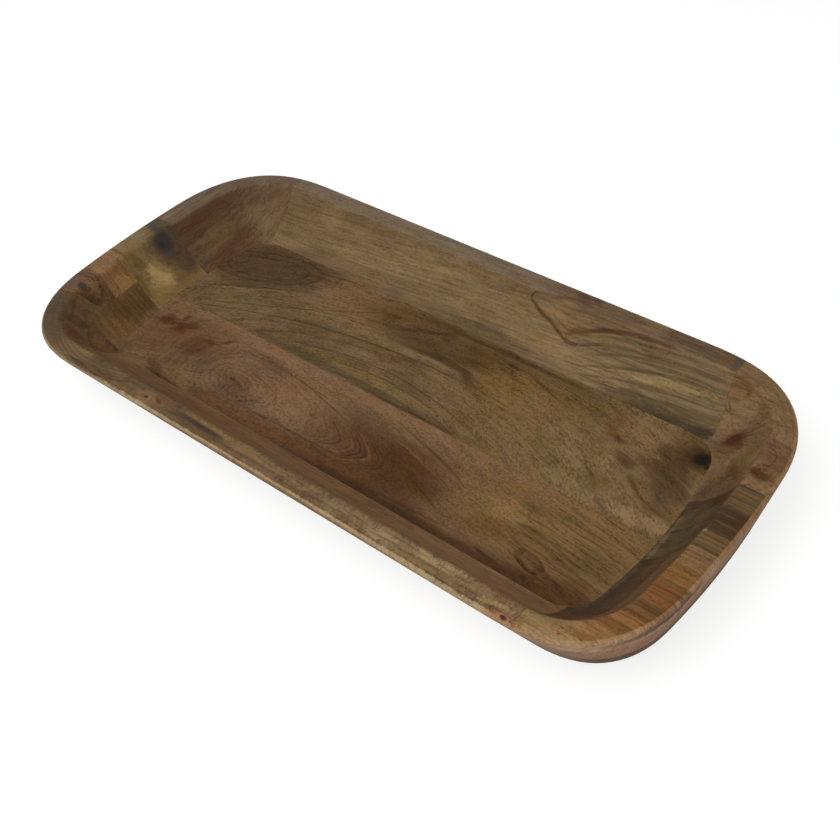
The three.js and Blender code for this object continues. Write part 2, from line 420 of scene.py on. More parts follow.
# Mark: an oval or box of another colour, or only its outline, turned and bent in the plane of the
# tray, with an edge that may be soft, ragged and frayed. It makes stains, knots, lines and zones.
stain, given = shared(
    "mark",
    {
        "Color": "Color",
        "Paint": "Color",
        "Amount": "Float",
        "Place": "Vector",
        "Wobble": "Vector",
        "Ragged": "Float",
        "Streak": "Float",
        "Fray": "Float",
        "Centre": "Vector",
        "Size": "Vector",
        "Turn": "Float",
        "Bend": "Float",
        "Soft": "Float",
        "Box": "Float",
        "Hollow": "Float",
    },
    {"Color": "Color", "Mask": "Float"},
)
away = move(stain, "MULTIPLY_ADD", given["Wobble"], given["Ragged"], given["Place"])
away = move(stain, "SUBTRACT", away, given["Centre"])
away = turn_back(stain, away, given["Turn"])
x, y, z = put(stain, "ShaderNodeSeparateXYZ", {0: away}).outputs
long, wide, deep = put(stain, "ShaderNodeSeparateXYZ", {0: given["Size"]}).outputs
x = calc(stain, "DIVIDE", x, long)
bent = calc(stain, "MULTIPLY", calc(stain, "MULTIPLY", x, x), given["Bend"])
y = calc(stain, "DIVIDE", calc(stain, "SUBTRACT", y, bent), wide)
z = calc(stain, "DIVIDE", z, deep)
oval = move(stain, "LENGTH", put(stain, "ShaderNodeCombineXYZ", {0: x, 1: y, 2: z}).outputs[0])
flat = calc(stain, "MAXIMUM", calc(stain, "ABSOLUTE", x), calc(stain, "ABSOLUTE", y))
flat = calc(stain, "MAXIMUM", flat, calc(stain, "ABSOLUTE", z))
squarer = calc(stain, "MULTIPLY", calc(stain, "SUBTRACT", flat, oval), given["Box"])
reach = calc(stain, "ADD", oval, squarer)
from_outline = calc(stain, "ABSOLUTE", calc(stain, "SUBTRACT", reach, 1.0))
from_outline = calc(stain, "DIVIDE", from_outline, calc(stain, "MAXIMUM", given["Hollow"], 0.001))
is_hollow = calc(stain, "GREATER_THAN", given["Hollow"], 0.0)
reach = put(stain, "ShaderNodeMix", {0: is_hollow, 2: reach, 3: from_outline}).outputs[0]
uneven = calc(stain, "SUBTRACT", given["Streak"], 0.5)
reach = calc(stain, "MULTIPLY_ADD", uneven, given["Fray"], reach)
outer = calc(stain, "MULTIPLY_ADD", given["Soft"], 0.5, 1.0)
mask = smooth(stain, reach, outer, calc(stain, "SUBTRACT", outer, given["Soft"]))
fray = calc(stain, "MULTIPLY", given["Fray"], 0.35)
mask = calc(stain, "MULTIPLY", mask, calc(stain, "MULTIPLY_ADD", uneven, fray, 1.0))
mask = calc(stain, "MULTIPLY", mask, given["Amount"])
painted = put(stain, "ShaderNodeMix", {0: mask, 6: given["Color"], 7: given["Paint"]}, data_type="RGBA")
put(stain, "NodeGroupOutput", {"Color": painted.outputs[2], "Mask": mask})


def tint(code):
    """A colour from six hex digits, in linear light."""
    shares = [int(code[start : start + 2], 16) / 255 for start in (0, 2, 4)]
    return [s / 12.92 if s <= 0.04045 else ((s + 0.055) / 1.055) ** 2.4 for s in shares] + [1]


everywhere = 1e6


def mark(code, at, size, turn=0, bend=0, soft=0.7, ragged=1.5, fray=1.0, amount=0.8, box=0, hollow=0):
    """One mark: colour, centre and half sizes in millimetres, turn in degrees, rise of its ends."""
    if not hollow:
        # a thin line is fainter than a broad stain
        amount *= min(1, 0.45 + 0.22 * min(size[:2]))
    return {
        "Paint": tint(code),
        "Centre": (*at, 0) if len(at) == 2 else at,
        "Size": (*size, everywhere) if len(size) == 2 else size,
        "Turn": math.radians(turn),
        "Bend": float(bend),
        "Soft": soft,
        "Ragged": float(ragged),
        "Fray": float(fray),
        "Amount": amount,
        "Box": float(box),
        "Hollow": float(hollow),
    }


def cloud(code, at, size, turn=0, bend=0, ragged=3, fray=2, amount=0.7):
    """A mark whose outline is quite soft, for stains and broad zones of colour."""
    return mark(code, at, size, turn, bend, 1.0, ragged, fray, amount)


def paint(tree, colour, marks, field):
    """Lays marks over a colour, one after another."""
    for one in marks:
        values = {"Color": colour, **field, **one}
        colour = put(tree, "ShaderNodeGroup", values, node_tree=stain).outputs["Color"]
    return colour


def zone(tree, one, field):
    """How strongly one mark covers each place."""
    return put(tree, "ShaderNodeGroup", {**field, **one}, node_tree=stain).outputs["Mask"]


# The renderer takes about 77 marks in one material. With more, or with the nodes of a full one made
# in another order, the piece turns black.

# the shade of plain wood, and the parts of the fibre that change it
usual_shade = 0.28
grain_parts = (("Streak", "streaks"), ("Grit", "grit"), ("Ripple", "ripples"), ("Patch", "patches"))
# what the colour is multiplied by where it is cooler or warmer, and where the shade is 0 or 1
cool_and_warm = (0.97, 1.0, 1.05), (1.04, 1.0, 0.94)
bright_and_deep = (1.25, 1.26, 1.27), (0.43, 0.38, 0.34)


def wood(name, light, dark, centre, turn=0, stretch=(8, 8, 3), spacing=4, marks=(), calm=(), **look):
    """Sanded, thinly oiled wood with its own figure: two tones, growth rings, fibre and marks."""
    look = {
        "bands": 0.3,
        "lines": 0.4,
        "streaks": 0.4,
        "grit": 1.1,
        "ripples": 0.25,
        "patches": 0.35,
        "pores": 0.14,
        "fibre": (45, 1.5, 8),
        "wave": 3.0,
        "follow": 0.3,
        "over": (),
        "lively": (),
        **look,
    }
    made = bpy.data.materials.new(name)
    made.use_nodes = True
    tree = made.node_tree
    tree.nodes.clear()
    place = put(tree, "ShaderNodeTexCoord").outputs["Object"]
    # in millimetres from here on
    place = move(tree, "MULTIPLY", place, (1000, 1000, 1000))
    wobble = noise(tree, move(tree, "MULTIPLY", place, (0.025, 0.07, 0.05)), 5.0, 0.62)["Color"]
    wobble = move(tree, "MULTIPLY_ADD", wobble, (4, 2, 2), (-2, -1, -1))
    waved = move(tree, "MULTIPLY_ADD", wobble, (look["wave"],) * 3, place)
    trunk = {"Place": waved, "Centre": centre, "Turn": math.radians(turn), "Stretch": stretch}
    trunk = put(tree, "ShaderNodeGroup", {**trunk, "Follow": look["follow"]}, node_tree=growth).outputs
    grain = {"Flow": trunk["Flow"], "Size": look["fibre"]}
    grain = put(tree, "ShaderNodeGroup", grain, node_tree=fibre).outputs
    ring = {"Distance": trunk["Distance"], "Spacing": spacing}
    ring = put(tree, "ShaderNodeGroup", ring, node_tree=rings).outputs
    uneven = calc(tree, "SUBTRACT", calc(tree, "ADD", grain["Grit"], grain["Ripple"]), 1.0)
    uneven = calc(tree, "MULTIPLY_ADD", uneven, 1.2, 0.5)
    field = {"Place": place, "Wobble": wobble, "Streak": uneven}
    drawn = 1.0
    for one in calm:
        drawn = calc(tree, "MULTIPLY", calc(tree, "SUBTRACT", 1.0, zone(tree, one, field)), drawn)
    colour = {0: grain["Cloud"], 6: tint(light), 7: tint(dark)}
    colour = put(tree, "ShaderNodeMix", colour, data_type="RGBA").outputs[2]
    colour = paint(tree, colour, marks, field)
    # painted light: where asked, the outer wall is painted a lighter colour for light bounced up from the
    # white table, and its rounded outer edge gets a painted highlight
    if "outer" in look:
        facing = put(tree, "ShaderNodeAttribute", attribute_name="facing").outputs["Fac"]
        wall = smooth(tree, facing, 0.6, 0.85)
        # a painted highlight on the rounded outer edge, broken up by the grain
        painted_arris_highlight = smooth(tree, facing, 0.34, 0.6)
        painted_arris_highlight = calc(tree, "MULTIPLY", painted_arris_highlight, smooth(tree, uneven, 0.2, 0.8, 0.6, 0.95))
        for share, code in ((painted_arris_highlight, look["edge"]), (wall, look["outer"])):
            colour = {0: share, 6: colour, 7: tint(code)}
            colour = put(tree, "ShaderNodeMix", colour, data_type="RGBA").outputs[2]
    colour = paint(tree, colour, look["over"], field)
    broken = calc(tree, "MULTIPLY", ring["Line"], smooth(tree, grain["Warmth"], 0.35, 0.6))
    shade = calc(tree, "MULTIPLY", calc(tree, "SUBTRACT", ring["Tone"], 0.5), look["bands"] * 2)
    shade = calc(tree, "MULTIPLY_ADD", broken, look["lines"], shade)
    shade = calc(tree, "MULTIPLY_ADD", shade, drawn, usual_shade)
    for part, share in grain_parts:
        shade = calc(tree, "MULTIPLY_ADD", calc(tree, "SUBTRACT", grain[part], 0.5), look[share] * 2, shade)
    shade = calc(tree, "MULTIPLY_ADD", grain["Pore"], look["pores"], shade)
    for one in look["lively"]:
        here = zone(tree, one, field)
        shade = calc(tree, "MULTIPLY_ADD", calc(tree, "SUBTRACT", grain["Thin"], 0.5), here, shade)
    held = put(tree, "ShaderNodeClamp", {0: shade}).outputs[0]
    warmth = smooth(tree, grain["Warmth"], 0.3, 0.7)
    cool, warm = (move(tree, "MULTIPLY", colour, hue) for hue in cool_and_warm)
    colour = put(tree, "ShaderNodeMix", {0: warmth, 6: cool, 7: warm}, data_type="RGBA").outputs[2]
    bright, deep = (move(tree, "MULTIPLY", colour, tone) for tone in bright_and_deep)
    colour = put(tree, "ShaderNodeMix", {0: held, 6: bright, 7: deep}, data_type="RGBA").outputs[2]
    height = calc(tree, "MULTIPLY_ADD", grain["Pore"], -1.0, calc(tree, "MULTIPLY", grain["Grit"], -1.0))
    relief = put(tree, "ShaderNodeBump", {"Strength": 0.3, "Distance": 0.00015, "Height": height})
    rough = put(tree, "ShaderNodeMapRange", {"Value": held, "To Min": 0.44, "To Max": 0.62})
    surface = {
        "Base Color": colour,
        "Roughness": rough.outputs[0],
        "Specular IOR Level": 0.1,
        "Normal": relief.outputs[0],
    }
    surface = put(tree, "ShaderNodeBsdfPrincipled", surface)
    put(tree, "ShaderNodeOutputMaterial", {"Surface": surface.outputs[0]})
    return made


near_board_marks = [
    # broad zones: golden to the right, light by the seam, dark heart, dark along the low edge
    mark("6a502f", (200, -40), (95, 55), ragged=12, fray=0.8, amount=0.95),
    mark("76573b", (-40, -13), (200, 9), soft=0.9, ragged=3, amount=0.7),
    cloud("7a5a3c", (-70, -52), (34, 20), ragged=6, fray=1, amount=0.45),
    cloud("4e341b", (36, -58), (58, 25), -7, ragged=9, fray=0.5, amount=0.92),
    cloud("40280b", (58, -58), (32, 20), -10, ragged=9, fray=0.5, amount=0.88),
    cloud("462c13", (20, -84), (70, 9), 0, ragged=4, fray=0.5, amount=0.85),
    cloud("6b4c2b", (70, -43), (38, 1.6), -13, ragged=2, fray=1),
    mark("55351a", (-60, -91), (110, 11), soft=0.9, ragged=3, amount=0.85),
    mark("341d05", (58, -94), (105, 8), 1, soft=0.9, ragged=3, amount=0.95),
    mark("3f250c", (205, -93), (62, 15), soft=0.9, ragged=5, amount=0.95),
    cloud("4a2f14", (228, -88), (22, 18), -30, ragged=5, fray=1, amount=0.8),
    # ragged red stains near the left end
    cloud("5a3820", (-198, -42), (34, 15), 18, ragged=6, fray=3),
    mark("4a280f", (-229, -38), (8, 6), soft=0.9, ragged=4, fray=3.5, amount=1.0),
    mark("47260e", (-213, -38), (10, 7), 30, soft=0.8, ragged=4, fray=3.5, amount=1.0),
    mark("4b2b12", (-205, -29), (9, 4), 60, soft=0.9, ragged=4, fray=3.5, amount=0.9),
    mark("4a2a12", (-218, -27), (6, 2.8), 110, soft=0.9, ragged=4, fray=3.5, amount=0.8),
    mark("4a2a12", (-174, -38), (6, 4.4), soft=0.9, ragged=4, fray=3.5, amount=0.95),
    cloud("4d2e15", (-185, -44), (11, 6), 50, ragged=4, fray=3.5, amount=0.9),
    cloud("4a2b13", (-178, -53), (10, 6), 40, ragged=4, fray=3.5, amount=0.8),
    mark("48290f", (-163, -30), (8, 2.6), 50, soft=0.9, ragged=4, fray=3.5, amount=0.85),
    # lines that curve round the stains, and the olive and dark low edge
    mark("4c2f16", (-166, -47), (13, 0.9), 62, ragged=2, amount=0.8),
    mark("4a3017", (-200, -62), (13, 1.0), 97, 2, ragged=2, amount=0.7),
    mark("48301a", (-191, -59), (14, 1.3), 88, 2, ragged=2, amount=0.8),
    cloud("5c4a24", (-170, -82), (24, 4), -20, ragged=4, amount=0.75),
    mark("402b0c", (-192, -86), (13, 4), -14, soft=0.9, ragged=3, amount=0.75),
    mark("362409", (-177, -92), (22, 2.4), -5, soft=0.9, ragged=2, amount=0.95),
    # the eye, the ovals round it and the long lines above and below
    mark("54361c", (-117, -60), (13, 8), soft=0.5, ragged=1.5, amount=0.5),
    *[
        mark("442a12", (-118, -60), size, -4, hollow=hollow, ragged=2.5, fray=2.5, amount=0.25)
        for size, hollow in (((12, 7.5), 0.07), ((21, 12), 0.05), ((30, 17), 0.04), ((41, 22), 0.03))
    ],
    mark("2f1a08", (-125, -59.5), (3.4, 1.3), ragged=0.5, amount=0.95),
    mark("4a2c12", (-96, -71), (15, 0.9), 33, ragged=1.5, amount=0.75),
    mark("48290f", (-90, -27.5), (55, 0.8), -5, ragged=2, fray=2.5),
    mark("48290f", (-40, -36), (38, 0.9), -14, ragged=2, fray=2.5),
    mark("3a1f09", (-42, -76), (64, 1.0), 2, ragged=1.5, fray=2.5),
    # nested rings that close in points to the right
    *[
        mark(code, (apex, -63.5), (reach, wide), 86, 1.5 * reach, 0.9, 2.6, 1.4, dark)
        for code, apex, reach, wide, dark in (
            ("3c230d", -15, 10, 1.2, 0.45),
            ("745434", -11.5, 11, 1.0, 0.5),
            ("3a210b", -8, 11, 1.0, 0.45),
            ("361e09", -2.5, 12, 1.4, 0.8),
            ("3a220b", 8, 13, 0.9, 0.4),
            ("6f502f", 11, 13, 1.1, 0.5),
            ("351d08", 14.5, 14, 1.1, 0.6),
            ("2e1706", 19, 15, 1.3, 0.9),
            ("301906", 24, 15, 1.2, 0.8),
            ("694a29", 28, 15, 1.6, 0.55),
            ("2f1906", 37, 15, 1.1, 0.8),
            ("2f1906", 42, 15, 1.2, 0.8),
        )
    ],
    mark("3c220c", (68, -31), (36, 1.3), -15, -1, ragged=2, fray=2),
    mark("3c220c", (60, -40), (40, 0.8), -14, -2, ragged=2, fray=2, amount=0.7),
    mark("38200a", (78, -63), (28, 1.0), -22, ragged=2, fray=2),
    mark("38200a", (78, -84.5), (42, 1.2), 4, ragged=1.5, fray=2),
    cloud("5a4020", (140, -66), (24, 9), 14, ragged=10, fray=3),
    cloud("7c603a", (158, -48), (20, 8), -8, ragged=8, fray=3, amount=0.65),
    # small knot like a letter D, spots and olive streaks in the golden end
    mark("553a1f", (187, -72.5), (8.6, 5.4), soft=0.6, ragged=2, amount=0.8),
    mark("351e09", (187, -72.5), (9.5, 6), -12, hollow=0.22, ragged=5, fray=2.5, amount=0.9, box=0.4),
    mark("361c08", (195.5, -74), (3.2, 2.8), ragged=2, amount=0.95),
    mark("3b1e0d", (203, -78), (3.4, 1.3), ragged=1.5, amount=0.9),
    mark("331c07", (158, -86.5), (11, 1.5), -8, ragged=1, amount=0.9),
    mark("3c2508", (176, -88), (14, 1.0), -4, ragged=1, amount=0.7),
    cloud("463214", (172, -50), (9, 3), ragged=5, fray=3, amount=0.8),
    cloud("4c3b1a", (163, -32), (10, 3), ragged=5, fray=3),
    cloud("574120", (186, -60), (26, 13), ragged=8, fray=3, amount=0.6),
    cloud("4b3c22", (226, -52), (16, 12), ragged=8, fray=3, amount=0.55),
    *[
        mark("412f18", at, (size, 0.6), -2, soft=0.8, ragged=2, fray=2.5, amount=0.9)
        for at, size in (
            ((195, -28), 30),
            ((215, -34), 24),
            ((172, -41), 16),
            ((224, -46), 20),
            ((196, -50.5), 34),
            ((170, -56), 16),
            ((212, -57), 28),
            ((190, -63), 20),
            ((212, -69), 18),
            ((222, -80), 16),
        )
    ],
]
near_board_wood = wood(
    "near floor board",
    "684f36",
    "5a432d",
    (-117, -60, 20),
    -3,
    (2.9, 1.35, 2),
    4.5,
    near_board_marks,
    [
        mark("000000", (225, -50), (125, 90), soft=0.3, amount=0.85),
        mark("000000", (-130, -55), (46, 40), soft=0.9, amount=-1.3),
    ],
    bands=0.25,
    lines=0.25,
    grit=1.5,
    lively=[mark("000000", (208, -50), (50, 50), soft=0.9, ragged=8, amount=3.4)],
)

far_board_marks = [
    # broad zones of colour
    mark("483621", (-208, 66), (68, 28), 16, soft=0.6, ragged=6, fray=0.6, amount=0.92),
    cloud("6e5234", (-103, 70), (42, 26), ragged=5, fray=1, amount=0.8),
    mark("5e4c31", (-200, 6), (60, 17), 6, soft=0.9, ragged=4, amount=0.7),
    mark("503b1e", (-30, 74), (55, 18), soft=0.9, ragged=6, amount=0.85),
    mark("4e3a1c", (40, 76), (45, 13), soft=0.9, ragged=6, amount=0.8),
    cloud("6b4e24", (88, 54), (42, 24), ragged=8, fray=1, amount=0.9),
    cloud("6b5536", (160, 22), (95, 60), ragged=12, fray=1, amount=0.8),
    cloud("574422", (112, 80), (46, 11), -8, ragged=8, fray=1, amount=0.6),
    cloud("755c3d", (190, 78), (27, 13), ragged=5, fray=2.5, amount=0.8),
    # yellow-green streak over the dark band by the seam, and the lens-shaped rings round them
    cloud("685628", (-36, 5.5), (72, 3.6), 0, -3, ragged=2, fray=1.5, amount=0.6),
    cloud("40341c", (-50, -4), (105, 3.4), 0, -1, ragged=1.5, fray=1.5, amount=0.6),
    mark("32230c", (20, -7.2), (48, 1.3), ragged=1, amount=0.95),
    mark("382710", (-20, 18.5), (118, 0.7), 0, -24, ragged=1.5, fray=3, amount=1.0),
    mark("3c2b14", (-10, 10), (80, 0.6), -1, -12, ragged=1.5, fray=3, amount=0.7),
    mark("3f2d18", (-62, 13), (70, 0.5), 5, -7, ragged=1.5, fray=3, amount=0.6),
    cloud("6b5a3a", (-38, 44), (40, 3.2), 9, -3, ragged=2, fray=1, amount=0.6),
    mark("34230d", (-82, 34), (146, 0.8), 9.6, -17, ragged=1.5, fray=3, amount=1.0),
    mark("3b2913", (-60, 30), (70, 0.6), 12, -6, ragged=1.5, fray=3, amount=0.6),
    mark("392813", (-152, 32), (80, 0.7), 26, 3, ragged=1.5, fray=3, amount=1.0),
    mark("3f2d17", (-120, 22), (80, 0.6), 16, -5, ragged=2, fray=3, amount=0.7),
    cloud("705b3e", (-194, 36), (46, 1.0), 25, -1, ragged=1.4, fray=3, amount=0.6),
    mark("33251a", (-196, 38.4), (48, 0.7), 25, -1, soft=0.9, ragged=1.4, fray=3, amount=1.0),
    mark("3f2e1a", (-200, 47), (34, 1.0), 28, ragged=2, fray=2.5, amount=0.7),
    mark("403019", (-205, 58), (30, 0.9), 26, -2, ragged=2, fray=2.5, amount=0.5),
    mark("3f2d17", (-160, 45), (26, 0.8), 33, ragged=1, fray=2.5, amount=0.6),
    *[
        mark("2f2114", (-207, 64), size, 17, hollow=0.035, ragged=2, fray=3, amount=0.55)
        for size in ((28, 8), (42, 14), (55, 20))
    ],
    # dark band with a hooked end over the rings
    cloud("38260d", (12, 54.5), (33, 3.6), -1, -2.5, fray=1.5, amount=0.75),
    cloud("3c2a10", (0, 61), (36, 6), 3, ragged=5, amount=0.5),
    cloud("3a290f", (36, 49), (13, 4), -34, ragged=5, fray=2.5, amount=0.62),
    mark("3f2c12", (52, 43), (7, 1.3), -10, soft=0.9, ragged=2, fray=3, amount=0.75),
    cloud("3b2710", (-16, 40), (7, 2.0), 10, fray=2.5, amount=0.6),
    cloud("3f2b14", (-26, 75), (27, 2.4), 25, amount=0.8),
    cloud("42301a", (-50, 66), (18, 2.4), 15, ragged=4, fray=2.5, amount=0.6),
    cloud("3a280f", (45, 89.5), (75, 2.4), ragged=2, fray=1, amount=0.75),
    mark("2b1706", (60, 80), (6, 1.5), -4, ragged=1, amount=0.95),
    mark("3d2910", (73, 68.5), (9, 0.9), -5, ragged=1, amount=0.85),
    cloud("3f2d0e", (30, 68), (14, 1.6), fray=2.5, amount=0.8),
    cloud("3f2d0e", (32, 78), (12, 1.4), fray=2.5),
    mark("3c2a0e", (95, 74), (16, 1.5), -16, ragged=3, fray=2, amount=0.85),
    mark("44310f", (82, 36), (4, 1.6), ragged=2, amount=0.7),
    # the knot, the dark halo beside it, and marks in the right end
    mark("4a341b", (217, 60), (18, 22), soft=0.9, ragged=7, fray=1.8, amount=0.9),
    cloud("463420", (228, 40), (14, 20), 20, ragged=7, fray=2.5, amount=0.85),
    mark("3a2612", (233, 74), (13, 11), soft=0.9, ragged=2.5, fray=1, amount=0.9),
    mark("140b06", (234, 74.5), (7.2, 5.8), soft=0.7, ragged=2, fray=0.8, amount=0.97),
    mark("1d120a", (241, 70), (3.4, 2.2), -40, soft=0.8, ragged=1, amount=0.85),
    cloud("4a2c16", (172, 60), (7, 3), -20, ragged=6, fray=3, amount=0.9),
    cloud("5b3b1d", (163, 70), (5, 12), ragged=5, fray=2.5, amount=0.6),
    cloud("4b2f19", (145, 50), (4, 1.6)),
    cloud("46301b", (190, 43), (9, 4), -15, ragged=6, fray=3, amount=0.85),
    mark("4a2d12", (217, 20), (22, 1.4), -27, 3.5, soft=0.9, ragged=2, fray=2, amount=0.9),
    cloud("4e371c", (205, 28), (10, 2.4), -38),
    cloud("806647", (226, 1), (22, 6.5), ragged=5, amount=0.85),
    cloud("7a6042", (190, 8), (18, 6), 20, ragged=6, fray=2.5, amount=0.5),
    mark("50391c", (147, 9), (46, 0.7), -19, ragged=2, fray=3, amount=0.7),
    cloud("50391c", (180, 14), (14, 1.8), -40, fray=2.5),
    cloud("4f381b", (168, 24), (16, 1.6), -42, ragged=4, fray=2.5, amount=0.6),
    *[
        cloud(code, at, size, turn, ragged=6, fray=3.5, amount=0.5)
        for code, at, size, turn in (
            ("7a6544", (151, 28), (16, 6), -50),
            ("776240", (166, 2), (24, 5), -18),
            ("766141", (140, 50), (12, 5), -45),
            ("7c6446", (178, 33), (13, 4), -45),
            ("78603f", (197, 63), (9, 5), -30),
            ("76603e", (130, 36), (10, 5), -50),
            ("55451f", (164, 46), (10, 5), -60),
            ("57441f", (133, 60), (14, 7), -30),
            ("554522", (184, 12), (8, 8), -50),
            ("58471f", (127, 24), (10, 7), -20),
            ("5a4a28", (146, 13), (12, 4), -30),
            ("5c3f20", (160, 76), (5, 9), 0),
        )
    ],
]
far_board_wood = wood(
    "far floor board",
    "665135",
    "564226",
    (-15, -45, 20),
    0,
    (2.2, 2.1, 3),
    3.4,
    far_board_marks,
    [mark("000000", (170, 50), (130, 90), ragged=6, amount=0.9)],
    follow=0.85,
    grit=1.65,
    ripples=0.4,
    patches=0.5,
    lines=0.55,
    streaks=0.6,
)

seam = -0.0092
saw("floor_board_near_wood", [nearer_than(seam), below(lower_joint)], near_board_wood)
saw("floor_board_far_wood", [beyond(seam), below(lower_joint)], far_board_wood)

# Lower ring, side rails: two long planks glued on the floor boards. The far one is light
# yellow-tan, of one wood with the rail above it, and the near one is plain brown.
far_rail_marks = [
    # the wall: grey band low down, dark low edge to the right, pale bands
    mark("54442b", (-5, 96.5), (62, 5), soft=0.9, ragged=3, fray=2, amount=0.9),
    mark("665639", (-62, 104), (46, 3), 1, soft=0.9, ragged=3, fray=2, amount=0.6),
    mark("604c33", (-150, 94), (90, 5), soft=0.9, ragged=3, amount=0.7),
    cloud("57462d", (42, 101), (30, 5), 4),
    cloud("7c6545", (-20, 118), (70, 8), fray=1, amount=0.5),
    mark("6e5c40", (185, 117), (80, 13), soft=0.8, ragged=5, amount=0.9),
    mark("45361d", (186, 97), (52, 7), 2, soft=0.9, ragged=4, fray=2, amount=0.9),
    mark("3a2c18", (196, 94.5), (40, 3), 2, soft=0.9, ragged=3, fray=2, amount=0.6),
    cloud("8c774d", (176, 112), (44, 3), 5, ragged=2, amount=0.6),
    cloud("806a46", (70, 106), (36, 5), 5, ragged=4, fray=1, amount=0.6),
    cloud("755638", (66, 106), (9, 5), 20, ragged=5, fray=2.5, amount=0.35),
    # a rounded figure like a fish
    cloud("735a3a", (86, 121.6), (34, 5.4), 1, ragged=1.5, fray=1, amount=0.6),
    cloud("846a48", (70, 122.6), (15, 1.6), -6, ragged=1, fray=1, amount=0.6),
    mark("4a3118", (47, 125.4), (3.0, 1.0), 90, -4, ragged=0.4, fray=1.2, amount=1.3),
    mark("4e351c", (60, 129.0), (12, 0.9), 5, -0.8, ragged=0.8, fray=1.2, amount=0.9),
    mark("4a3118", (60, 120.2), (12, 1.1), -14, 0.9, ragged=0.8, fray=1.2, amount=1.2),
    mark("4c3219", (79, 115.2), (10, 1.1), -17, -0.5, ragged=0.8, fray=1.2, amount=1.2),
    mark("472d16", (93, 112.0), (8, 1.1), -1, 1.8, ragged=0.6, fray=1.2, amount=1.2),
    mark("51371e", (112, 115.8), (14, 1.0), 14, -0.8, ragged=1, fray=1.4, amount=1.0),
    mark("604a2d", (138, 120.2), (18, 0.7), 6, -0.8, ragged=1, fray=1.6, amount=0.9),
    cloud("5c4022", (99, 119.2), (13, 2.0), 15, ragged=1.5, fray=1.4, amount=0.85),
    cloud("5a3d1e", (90, 116), (5, 1.6), 24, ragged=1, fray=1.4),
    mark("482f17", (118, 123.7), (19, 1.2), 10, -1, ragged=1, fray=1.4, amount=1.2),
    mark("472e18", (156, 127.9), (26, 1.1), 2, -1, ragged=1, fray=1.4, amount=1.1),
    mark("62492d", (76, 124.6), (18, 0.6), -4, 0.6, ragged=1, fray=1.6, amount=0.8),
    mark("5f462a", (82, 118.6), (16, 0.6), -13, 0.6, ragged=1, fray=1.6, amount=0.8),
    mark("62492d", (98, 127.2), (20, 0.6), 3, ragged=1, fray=1.6, amount=0.8),
    # a fainter one to its left and the lines that run on from both
    mark("664b2e", (27, 125.2), (3, 0.8), 90, -3.4, ragged=0.4, fray=1, amount=1.0),
    mark("6a4f32", (36, 127.6), (10, 0.7), 10, ragged=0.8, fray=1.4, amount=0.9),
    mark("6a4f32", (40, 120.0), (14, 0.7), -12, ragged=0.8, fray=1.4, amount=1.0),
    mark("6b5133", (10, 126), (26, 0.7), 5, ragged=0.8, fray=1.4, amount=1.0),
    mark("6b5133", (12, 122.5), (24, 0.6), -3, ragged=0.8, fray=1.4, amount=0.9),
    mark("6e5537", (44, 114), (34, 0.7), -9, -1, ragged=1, fray=1.4, amount=0.9),
    *[
        mark("4f3e22", at, (size, 0.8), turn, -rise, ragged=1.2, fray=2.5, amount=1.0)
        for at, size, turn, rise in (
            ((158, 125.2), 42, 4, 1.5),
            ((170, 122.4), 48, 4, 2),
            ((150, 118.4), 36, 8, 2),
            ((188, 119.2), 38, 2, 1),
            ((176, 115.6), 44, 5, 1.5),
            ((140, 110.5), 34, 11, 1.5),
            ((188, 108.6), 40, 3, 1),
            ((150, 105.6), 40, 9, 1.5),
            ((196, 104.2), 30, 3, 0.5),
            ((160, 101), 36, 5, 1),
            ((205, 100), 26, 2, 0.5),
        )
    ],
    mark("33261a", (221, 96), (9, 3.4), soft=0.9, ragged=3, fray=1.5, amount=0.9),
    mark("2f2316", (186, 93.5), (9, 1.6), 6, soft=0.9, ragged=2, amount=0.8),
    # fine lines to the left
    mark("665031", (-85, 120.5), (38, 0.7), -3, ragged=1, fray=2),
    mark("614c2c", (-165, 103), (42, 0.7), 2, ragged=1, fray=2),
    mark("57432a", (-36, 116), (5, 0.9), 4, ragged=0.6, amount=0.8),
    mark("68522f", (-60, 116.6), (30, 0.6), 2, ragged=1, fray=2, amount=0.8),
    mark("6a5533", (-170, 113), (50, 0.7), 2, ragged=1.5, fray=2, amount=0.7),
    mark("6a5533", (-120, 108.5), (60, 0.7), 1, ragged=1.5, fray=2, amount=0.6),
    cloud("7a6444", (-130, 111), (60, 1.6), 1, ragged=1.5, amount=0.5),
    # the rim is greyer than the wall, a broad painted sheen over the far rim
    mark("675744", (0, 629.5), (4000, 500), soft=0.0024, ragged=0, fray=0, amount=0.95),
    mark("5c452e", (116, 141), (62, 12), soft=0.5, ragged=3, fray=1, amount=0.8),
    mark("54402a", (197, 139.8), (33, 10), soft=0.1, ragged=1.5, fray=0.6, amount=0.85, box=1),
    cloud("4c3324", (89, 137.5), (8, 5), -35, ragged=5, fray=2.5, amount=0.85),
    cloud("4a3425", (100, 141), (7, 3), -30, ragged=4, fray=2.5),
    mark("4a3322", (76, 132), (12, 1.4), 18, soft=0.9, ragged=1.5, fray=2, amount=0.7),
    cloud("4e3a25", (180, 136), (16, 2), fray=2.5, amount=0.6),
    cloud("6d5636", (152, 140), (10, 6)),
    mark("473c30", (225, 138), (3.6, 9), soft=0.8, ragged=2, amount=0.75),
]
far_rail_wood = wood(
    "far rail",
    "776142",
    "675338",
    (230, 20, 40),
    0,
    (2.4, 2.3, 1000),
    3,
    far_rail_marks,
    [mark("000000", (-90, 118), (190, 60), soft=0.5, ragged=4, fray=0, amount=0.85)],
    fibre=(60, 1.3, 1000),
    wave=1.0,
    follow=0.15,
    lines=0.6,
    streaks=0.95,
    grit=0.95,
    patches=0.35,
)
near_rail_marks = [
    cloud("5e4127", (-125, -112), (26, 8), ragged=4),
    cloud("785a3d", (160, -108), (80, 16), ragged=6, fray=1),
    cloud("7a583a", (0, -104), (60, 8), ragged=6, fray=1, amount=0.4),
]
